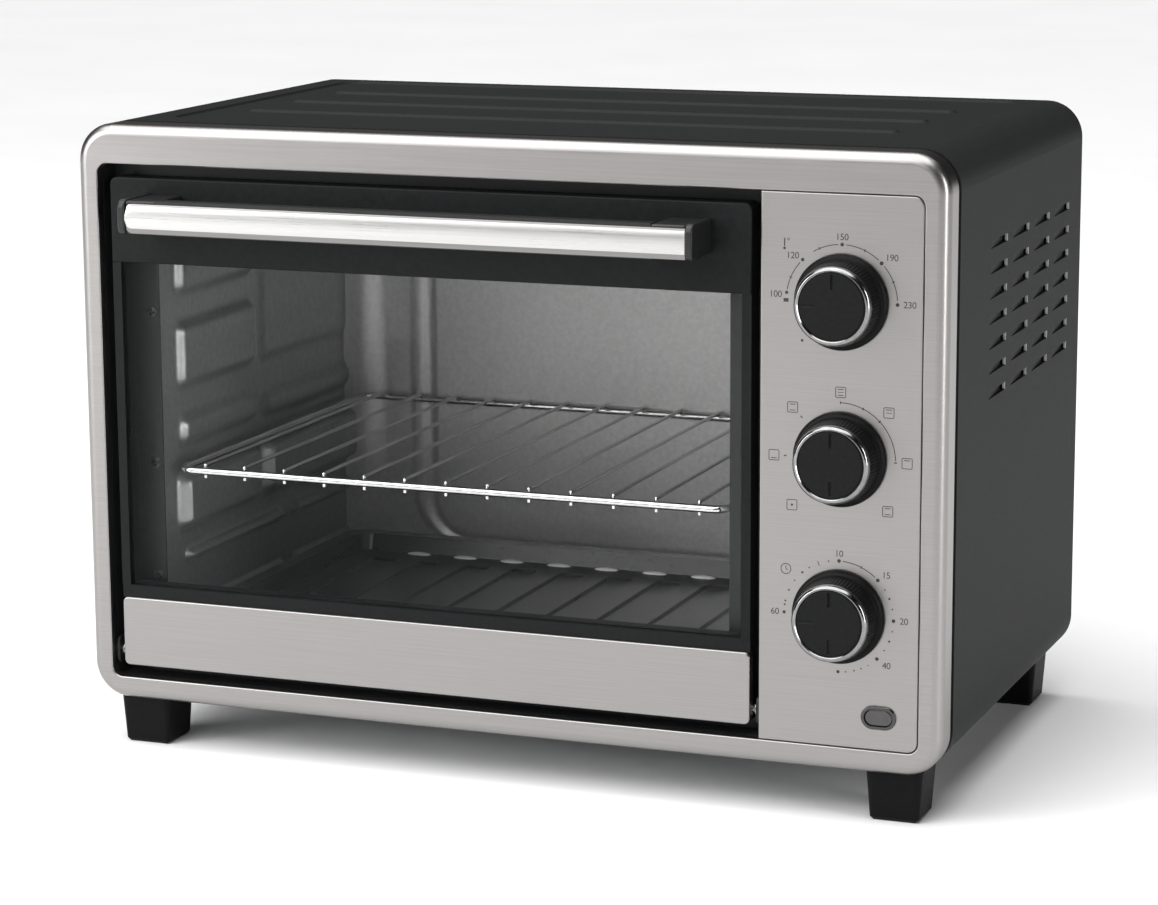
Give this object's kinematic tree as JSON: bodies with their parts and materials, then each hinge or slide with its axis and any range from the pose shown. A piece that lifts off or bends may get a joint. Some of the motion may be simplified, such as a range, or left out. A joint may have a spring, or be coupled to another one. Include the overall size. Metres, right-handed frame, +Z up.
{
  "type": "toaster oven",
  "caption": "Countertop toaster oven with a drop-down glass door, bar handle, three control dials, wire rack and ribbed tray.",
  "frame": {"origin": "on the table, under the middle of the whole oven, handle included", "axes": "+X to the right seen from the front, the door faces -Y, +Z up"},
  "size_m": [0.48, 0.314, 0.3422],
  "materials": {
    "bezel_steel": "brushed stainless steel, grain across",
    "housing_paint": "satin charcoal black paint",
    "zinc_plate": "galvanised sheet",
    "screw_steel": "plated steel",
    "foot_plastic": "black moulded plastic",
    "timer_case": "pressed bell and case",
    "frame_paint": "satin black enamel",
    "cavity_metal": "dark glossy enamelled sheet",
    "heater_sheath": "oxidised steel sheath",
    "ceramic": "glazed ceramic",
    "panel_steel": "brushed stainless steel, grain across",
    "pilot_plastic": "gloss black",
    "pilot_lens": "smoked lens",
    "door_glass": "tempered, lightly smoked",
    "door_black": "satin black",
    "trim_steel": "brushed stainless steel, grain across",
    "handle_plastic": "satin black",
    "rack_chrome": "bright plated wire",
    "tray_enamel": "black enamel",
    "knob_plastic": "fine satin black",
    "knob_ring_chrome": "polished"
  },
  "bodies": {
    "oven_body": {"front_bezel": "bezel_steel", "housing_wrap": "housing_paint", "base_plate": "zinc_plate", "rear_panel": "zinc_plate", "rear_panel_screws": "screw_steel", "cord_inlet_bush": "foot_plastic", "terminal_block": "foot_plastic", "foot_front_left": "foot_plastic", "foot_rear_left": "foot_plastic", "foot_front_right": "foot_plastic", "foot_rear_right": "foot_plastic", "foot_screws": "screw_steel", "front_frame": "frame_paint", "front_frame_screws": "screw_steel", "cavity_left_wall": "cavity_metal", "cavity_right_wall": "cavity_metal", "cavity_floor": "cavity_metal", "cavity_roof": "cavity_metal", "cavity_back_wall": "cavity_metal", "heat_shield": "zinc_plate", "lower_front_heater": "heater_sheath", "upper_front_heater": "heater_sheath", "lower_rear_heater": "heater_sheath", "upper_rear_heater": "heater_sheath", "heater_bushings": "ceramic", "hinge_bracket_left": "zinc_plate", "hinge_bracket_right": "zinc_plate", "hinge_pin_left": "screw_steel", "hinge_pin_right": "screw_steel", "door_spring_left": "screw_steel", "door_spring_right": "screw_steel", "control_panel": "panel_steel", "control_bracket": "zinc_plate", "pilot_bezel": "pilot_plastic", "pilot_lens": "pilot_lens", "thermostat_body": "foot_plastic", "function_switch_body": "foot_plastic", "timer_body": "timer_case"},
    "door": {"door_glass": "door_glass", "door_top_cover": "door_black", "door_left_channel": "door_black", "door_right_channel": "door_black", "door_bottom_rail": "door_black", "door_lower_trim": "trim_steel", "handle_bar": "handle_plastic", "handle_facing": "trim_steel", "handle_left_end": "handle_plastic", "handle_right_end": "handle_plastic", "handle_screws": "screw_steel"},
    "rack": {"wire_rack": "rack_chrome"},
    "tray": {"baking_tray": "tray_enamel"},
    "temperature_dial": {"temperature_knob": "knob_plastic", "temperature_knob_ring": "knob_ring_chrome", "temperature_shaft": "screw_steel"},
    "function_dial": {"function_knob": "knob_plastic", "function_knob_ring": "knob_ring_chrome", "function_shaft": "screw_steel"},
    "timer_dial": {"timer_knob": "knob_plastic", "timer_knob_ring": "knob_ring_chrome", "timer_shaft": "screw_steel"}
  },
  "joints": [
    {"name": "door_hinge", "type": "hinge", "parent": "oven_body", "child": "door", "pos_m": [-0.041, -0.118, 0.053], "axis": [1, 0, 0], "range_deg": [0, 90], "stiffness_Nm_per_rad": 0.6, "springref_deg": -20.05},
    {"name": "rack_slide", "type": "slide", "parent": "oven_body", "child": "rack", "axis": [0, -1, 0], "range_m": [0, 0.15]},
    {"name": "tray_slide", "type": "slide", "parent": "oven_body", "child": "tray", "axis": [0, -1, 0], "range_m": [0, 0.026]},
    {"name": "temperature_turn", "type": "hinge", "parent": "oven_body", "child": "temperature_dial", "pos_m": [0.1858, -0.127, 0.267], "axis": [0, 1, 0], "range_deg": [-135, 90]},
    {"name": "function_turn", "type": "hinge", "parent": "oven_body", "child": "function_dial", "pos_m": [0.1858, -0.127, 0.188], "axis": [0, 1, 0], "range_deg": [-135, 135]},
    {"name": "timer_turn", "type": "hinge", "parent": "oven_body", "child": "timer_dial", "pos_m": [0.1858, -0.127, 0.1075], "axis": [0, 1, 0], "range_deg": [-45, 270]}
  ],
  "couplings": [
    {"joint": "rack_slide", "follows": "door_hinge", "m_per_rad": 0.095},
    {"joint": "tray_slide", "follows": "door_hinge", "m_per_rad": 0.016}
  ]
}
